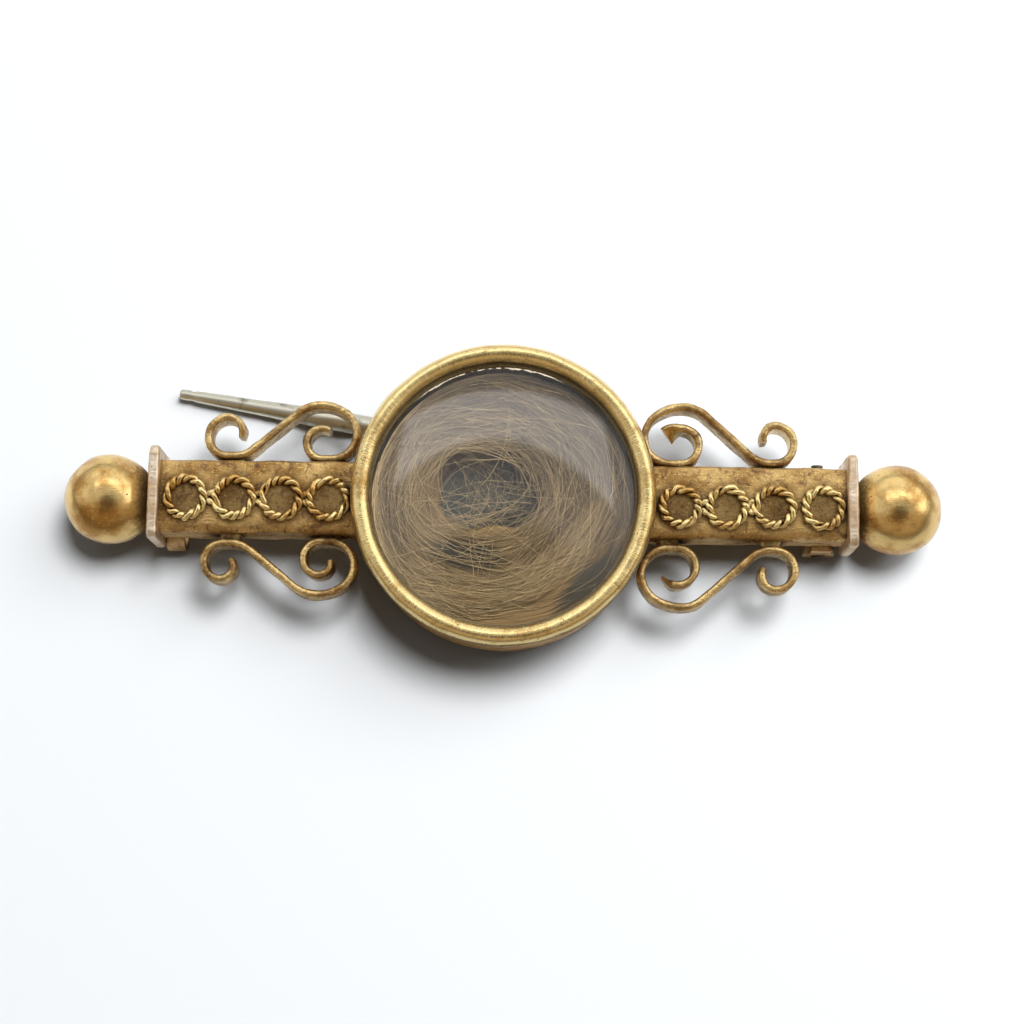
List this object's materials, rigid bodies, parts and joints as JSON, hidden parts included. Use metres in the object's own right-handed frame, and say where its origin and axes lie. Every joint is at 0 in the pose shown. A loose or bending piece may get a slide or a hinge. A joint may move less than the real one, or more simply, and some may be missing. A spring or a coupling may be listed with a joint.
{
  "type": "locket brooch",
  "caption": "Gold bar brooch with a round glazed hair locket, rope rings on its arms, wire scrolls, ball ends, a pin stem on a hinge and a C catch.",
  "frame": {"origin": "on the surface that the brooch lies on, under the locket's axis, which is the middle of the brooch's length and width", "axes": "+X along the bar from the catch end to the hinge end, +Y across the bar towards the side that the open pin stem's tip leans to, +Z out of the front, through the locket's glass"},
  "size_m": [0.0508, 0.0174, 0.0074],
  "materials": {
    "gold": "worn old gold, tarnished brown in the recesses",
    "glass": "clear domed glass",
    "hair": "fine brown hair, coiled",
    "backing": "dark cloth-covered card",
    "steel": "dull grey steel"
  },
  "bodies": {
    "brooch": {"frame": "gold", "bezel": "gold", "glass": "glass", "hair_coil": "hair", "backing_disc": "backing", "hinge_rivet": "steel"},
    "pin": {"pin_stem": "steel"}
  },
  "joints": [
    {"name": "pin_hinge", "type": "hinge", "parent": "brooch", "child": "pin", "pos_m": [0.01855, 0, 0.00095], "axis": [0, -1, 0], "range_deg": [0, 110]}
  ]
}
